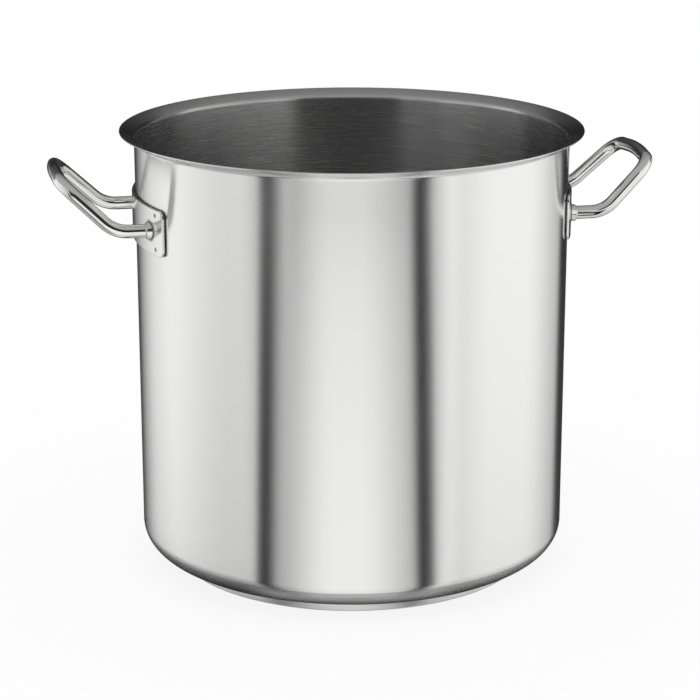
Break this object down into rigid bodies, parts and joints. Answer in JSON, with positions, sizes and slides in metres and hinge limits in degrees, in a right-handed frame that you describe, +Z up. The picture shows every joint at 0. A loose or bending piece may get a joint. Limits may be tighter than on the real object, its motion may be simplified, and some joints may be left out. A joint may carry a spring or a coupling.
{
  "type": "stock pot",
  "caption": "Tall round stainless steel stock pot with a flared pouring rim, a thick flat sandwich base and upswept tube handles on curved plates.",
  "frame": {"origin": "centre of the base's underside, on the table", "axes": "+Z up along the pot's axis, +X and -X towards the two handles"},
  "size_m": [0.5062, 0.3866, 0.3722],
  "materials": {
    "pot_steel": "satin, fine brushing round the pot",
    "base_steel": "satin",
    "core_aluminium": "mill",
    "plate_steel": "fine satin",
    "tube_steel": "polished",
    "weld_metal": "as welded, brushed"
  },
  "bodies": {
    "root": {"pot_shell": "pot_steel", "base_core": "core_aluminium", "base_cap": "base_steel", "handle_plate_left": "plate_steel", "handle_tube_left": "tube_steel", "handle_weld_left_a": "weld_metal", "handle_weld_left_b": "weld_metal", "spot_weld_left_1": "weld_metal", "spot_weld_left_2": "weld_metal", "spot_weld_left_3": "weld_metal", "spot_weld_left_4": "weld_metal", "handle_plate_right": "plate_steel", "handle_tube_right": "tube_steel", "handle_weld_right_a": "weld_metal", "handle_weld_right_b": "weld_metal", "spot_weld_right_1": "weld_metal", "spot_weld_right_2": "weld_metal", "spot_weld_right_3": "weld_metal", "spot_weld_right_4": "weld_metal"}
  },
  "joints": []
}
